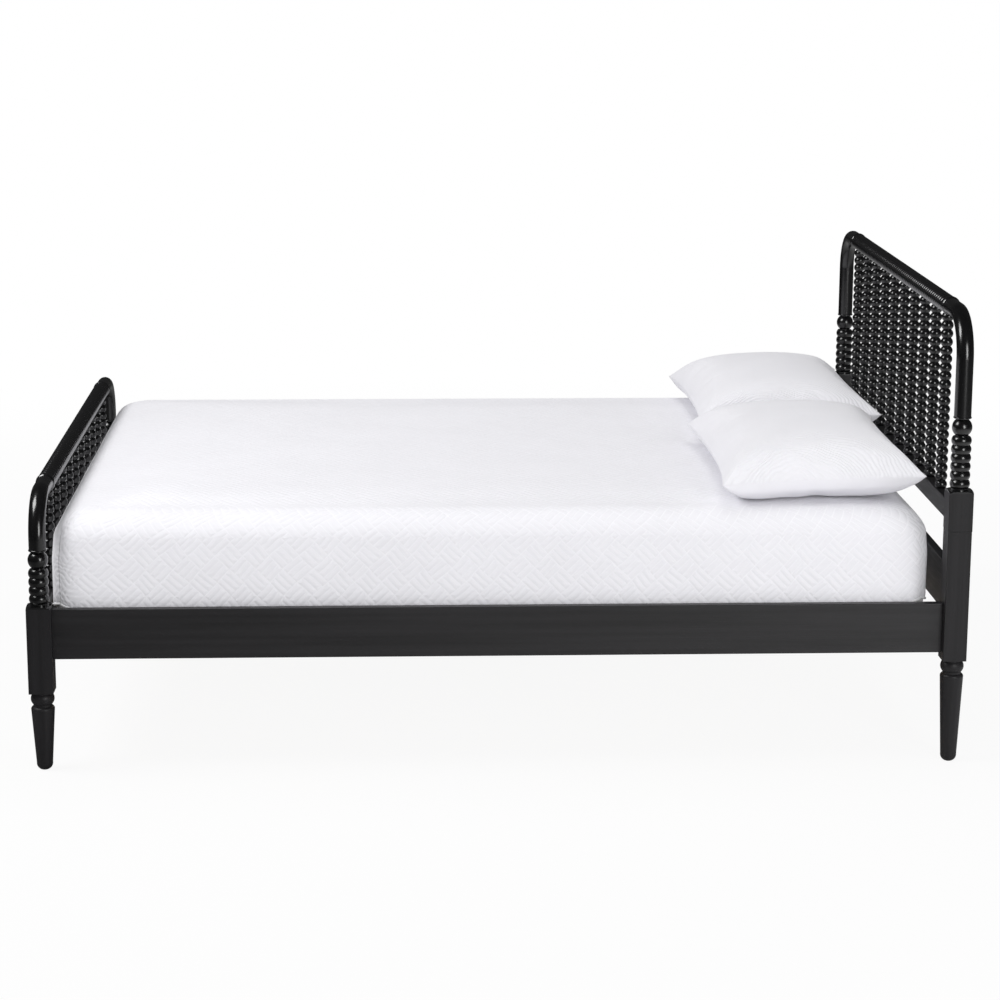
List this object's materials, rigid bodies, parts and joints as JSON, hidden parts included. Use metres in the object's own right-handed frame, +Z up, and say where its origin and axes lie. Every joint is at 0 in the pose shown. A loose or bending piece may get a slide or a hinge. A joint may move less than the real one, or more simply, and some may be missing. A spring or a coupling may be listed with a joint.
{
  "type": "spindle bed",
  "caption": "Black spindle bed with arched head and foot, beaded spindles, ringed top rails, turned legs, slats, mattress with quilted cover and pillows.",
  "frame": {"origin": "on the floor, at the centre of the bed's plan", "axes": "+X from the footboard to the headboard, +Y to the left of someone lying in the bed, +Z up"},
  "size_m": [2.148, 1.615, 1.0649],
  "materials": {
    "turned_black": "turned wood in black gloss lacquer",
    "post_black": "solid wood posts in black lacquer, satin on the flats and glossy on the turnings",
    "flat_black": "boards in satin black lacquer with faint open grain",
    "slat_wood": "plain sanded softwood",
    "zinc_steel": "zinc-plated steel",
    "mattress_ticking": "white knitted ticking",
    "quilted_cover": "white quilted cotton with a zigzag stitch",
    "pillow_matelasse": "white woven cotton with a wavy raised pattern"
  },
  "bodies": {
    "root": {"head_top_rail": "turned_black", "head_elbow_left": "turned_black", "head_elbow_right": "turned_black", "head_spindle_1": "turned_black", "head_spindle_2": "turned_black", "head_spindle_3": "turned_black", "head_spindle_4": "turned_black", "head_spindle_5": "turned_black", "head_spindle_6": "turned_black", "head_spindle_7": "turned_black", "head_spindle_8": "turned_black", "head_spindle_9": "turned_black", "head_spindle_10": "turned_black", "head_post_left": "post_black", "head_post_right": "post_black", "head_leg_left": "post_black", "head_leg_right": "post_black", "head_panel_rail": "flat_black", "head_end_board": "flat_black", "foot_top_rail": "turned_black", "foot_elbow_left": "turned_black", "foot_elbow_right": "turned_black", "foot_spindle_1": "turned_black", "foot_spindle_2": "turned_black", "foot_spindle_3": "turned_black", "foot_spindle_4": "turned_black", "foot_spindle_5": "turned_black", "foot_spindle_6": "turned_black", "foot_spindle_7": "turned_black", "foot_spindle_8": "turned_black", "foot_spindle_9": "turned_black", "foot_spindle_10": "turned_black", "foot_post_left": "post_black", "foot_post_right": "post_black", "foot_end_board": "flat_black", "side_rail_left": "flat_black", "side_rail_right": "flat_black", "slat_cleat_left": "slat_wood", "slat_cleat_right": "slat_wood", "slat_1": "slat_wood", "slat_2": "slat_wood", "slat_3": "slat_wood", "slat_4": "slat_wood", "slat_5": "slat_wood", "slat_6": "slat_wood", "slat_7": "slat_wood", "slat_8": "slat_wood", "slat_9": "slat_wood", "slat_10": "slat_wood", "slat_11": "slat_wood", "slat_stiffener": "slat_wood", "rail_bolts": "zinc_steel", "barrel_nuts": "zinc_steel", "wood_screws": "zinc_steel", "mattress": "mattress_ticking", "mattress_cover": "quilted_cover", "pillow_left": "pillow_matelasse", "pillow_right": "pillow_matelasse"}
  },
  "joints": []
}
